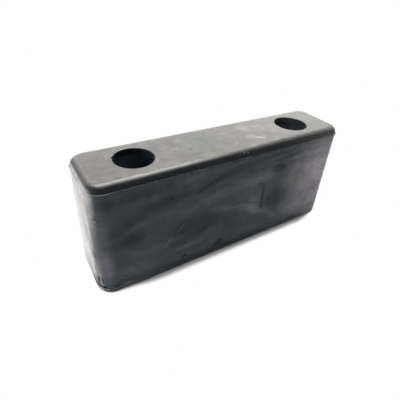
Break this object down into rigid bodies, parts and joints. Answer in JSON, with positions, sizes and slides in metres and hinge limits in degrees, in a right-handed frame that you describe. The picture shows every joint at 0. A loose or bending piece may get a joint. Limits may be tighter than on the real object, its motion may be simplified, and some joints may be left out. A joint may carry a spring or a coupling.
{
  "type": "rubber bumper",
  "caption": "Oblong moulded rubber bumper block with rounded corners, bolted down through deep washer pockets in its narrow impact face.",
  "frame": {"origin": "middle of the flat mounting base", "axes": "+X along the block's length, +Y through its thickness, +Z from the mounting base out to the impact face"},
  "size_m": [0.2586, 0.0622, 0.1085],
  "materials": {
    "rubber": "aged moulded rubber with grey bloom, scuffs and stains"
  },
  "bodies": {
    "root": {"bumper": "rubber"}
  },
  "joints": []
}
